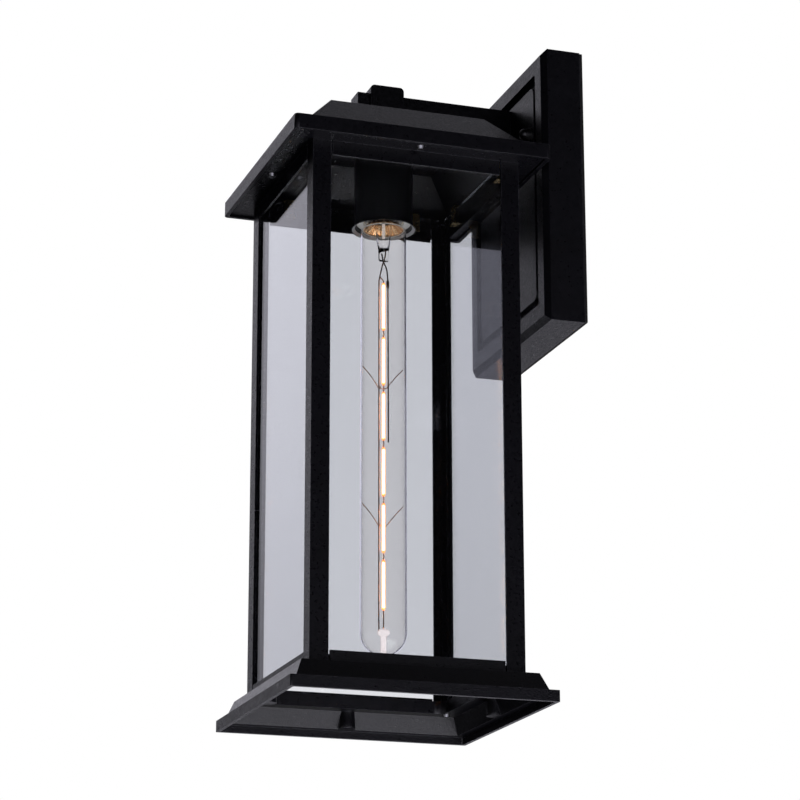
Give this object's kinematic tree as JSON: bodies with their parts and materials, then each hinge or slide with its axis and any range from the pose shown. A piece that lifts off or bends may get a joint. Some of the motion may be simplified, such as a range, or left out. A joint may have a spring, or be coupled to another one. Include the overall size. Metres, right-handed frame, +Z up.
{
  "type": "outdoor wall lantern",
  "caption": "Square glazed wall lantern with open base, hipped roof and bracket arm on a panelled wall plate, holding a screwed-in tubular lamp.",
  "frame": {"origin": "centre of the wall plate's outline, on the wall plane", "axes": "+Y into the wall, -Y the way the lantern stands out, +Z up, +X to the right as seen by someone facing the wall"},
  "size_m": [0.1778, 0.2089, 0.453],
  "materials": {
    "powder_coat": "fine-textured black powder coat on die-cast aluminium",
    "powder_coat_sheet": "fine-textured black powder coat on steel sheet",
    "cup_black": "satin black, pale inside the mouth",
    "black_screw": "blackened screw, worn bright in the recess",
    "black_nut": "black painted cap nut",
    "foam": "closed-cell foam",
    "seal_rubber": "matt rubber",
    "zinc_plate": "zinc-plated sheet",
    "zinc_screw": "zinc-plated steel",
    "green_screw": "green grounding screw",
    "connector_plastic": "ribbed plastic",
    "black_insulation": "smooth insulation",
    "white_insulation": "smooth insulation",
    "green_insulation": "smooth insulation",
    "pane_glass": "clear, flat, ground edges",
    "lamp_glass": "thin clear blown glass",
    "clip_brass": "bright spring strip",
    "porcelain": "glazed white",
    "shell_brass": "bare pressed brass",
    "cap_metal": "nickel-plated, threaded",
    "cap_insulator": "black glass",
    "solder_tip": "soldered contact",
    "led_stick": "phosphor-coated, lit warm",
    "lamp_wire": "copper-flashed wire"
  },
  "bodies": {
    "lantern": {"wall_plate": "powder_coat", "wall_gasket": "foam", "mounting_plate": "zinc_plate", "plate_studs": "zinc_screw", "cap_nuts": "black_nut", "ground_screw": "green_screw", "wire_connectors": "connector_plastic", "lead_black": "black_insulation", "lead_white": "white_insulation", "lead_ground": "green_insulation", "arm": "powder_coat", "arm_screws": "zinc_screw", "arm_collar": "powder_coat", "roof_seal": "seal_rubber", "nipple": "zinc_screw", "nipple_nuts": "zinc_screw", "nipple_washers": "zinc_screw", "roof": "powder_coat", "roof_screws": "black_screw", "top_frame": "powder_coat_sheet", "post_screws": "zinc_screw", "front_left_post": "powder_coat_sheet", "front_right_post": "powder_coat_sheet", "back_left_post": "powder_coat_sheet", "back_right_post": "powder_coat_sheet", "front_glass": "pane_glass", "back_glass": "pane_glass", "left_glass": "pane_glass", "right_glass": "pane_glass", "glass_clips": "clip_brass", "base": "powder_coat", "base_screws": "black_screw", "socket_cup": "cup_black", "lampholder_body": "porcelain", "lampholder_shell": "shell_brass", "lampholder_contact": "shell_brass"},
    "lamp_foot": {"bulb_contact": "solder_tip"},
    "lamp": {"bulb_cap": "cap_metal", "bulb_insulator": "cap_insulator", "bulb_glass": "lamp_glass", "bulb_stem": "lamp_glass", "bulb_filaments": "led_stick", "bulb_supports": "lamp_wire"}
  },
  "joints": [
    {"name": "lamp_travel", "type": "slide", "parent": "lantern", "child": "lamp_foot", "axis": [0, 0, -1], "range_m": [0, 0.0182]},
    {"name": "lamp_turn", "type": "hinge", "parent": "lamp_foot", "child": "lamp", "pos_m": [0, -0.12, -0.001], "axis": [0, 0, -1], "range_deg": [0, 1800]}
  ],
  "couplings": [
    {"joint": "lamp_travel", "follows": "lamp_turn", "m_per_rad": 0.0005775}
  ]
}
